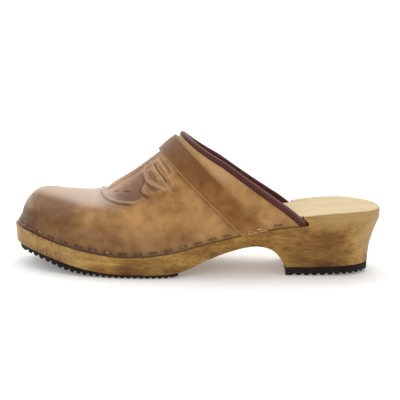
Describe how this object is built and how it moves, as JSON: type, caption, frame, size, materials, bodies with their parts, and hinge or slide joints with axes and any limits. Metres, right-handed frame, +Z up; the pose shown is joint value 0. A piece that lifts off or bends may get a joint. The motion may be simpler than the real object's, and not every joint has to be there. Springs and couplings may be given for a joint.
{
  "type": "backless leather clog",
  "caption": "Backless leather clog on a carved wooden sole with a low heel, a stapled leather upper, an instep strap, a bound collar and ribbed rubber treads.",
  "frame": {"origin": "centre of the bounding box in plan, on the floor that the treads stand on", "axes": "+X from the toe to the heel along the sole, +Y towards the inner side of the foot, +Z up"},
  "size_m": [0.2575, 0.096, 0.096],
  "materials": {
    "wood": "lightly oiled, satin",
    "leather_upper": "burnished, semi-gloss",
    "leather_strap": "satin",
    "leather_binding": "satin",
    "rubber": "matt",
    "steel": "bright"
  },
  "bodies": {
    "root": {"wood_sole": "wood", "tread_front": "rubber", "tread_heel": "rubber", "upper": "leather_upper", "instep_strap": "leather_strap", "collar_binding": "leather_binding", "staple_01": "steel", "staple_02": "steel", "staple_03": "steel", "staple_04": "steel", "staple_05": "steel", "staple_06": "steel", "staple_07": "steel", "staple_08": "steel", "staple_09": "steel", "staple_10": "steel", "staple_11": "steel", "staple_12": "steel", "staple_13": "steel", "staple_14": "steel", "staple_15": "steel", "staple_16": "steel", "staple_17": "steel", "staple_18": "steel", "staple_19": "steel", "staple_20": "steel", "staple_21": "steel", "staple_22": "steel", "staple_23": "steel", "staple_24": "steel", "staple_25": "steel", "staple_26": "steel", "staple_27": "steel", "staple_28": "steel", "staple_29": "steel", "staple_30": "steel", "staple_31": "steel", "staple_32": "steel", "staple_33": "steel", "staple_34": "steel", "staple_35": "steel", "staple_36": "steel", "staple_37": "steel", "staple_38": "steel", "staple_39": "steel"}
  },
  "joints": []
}
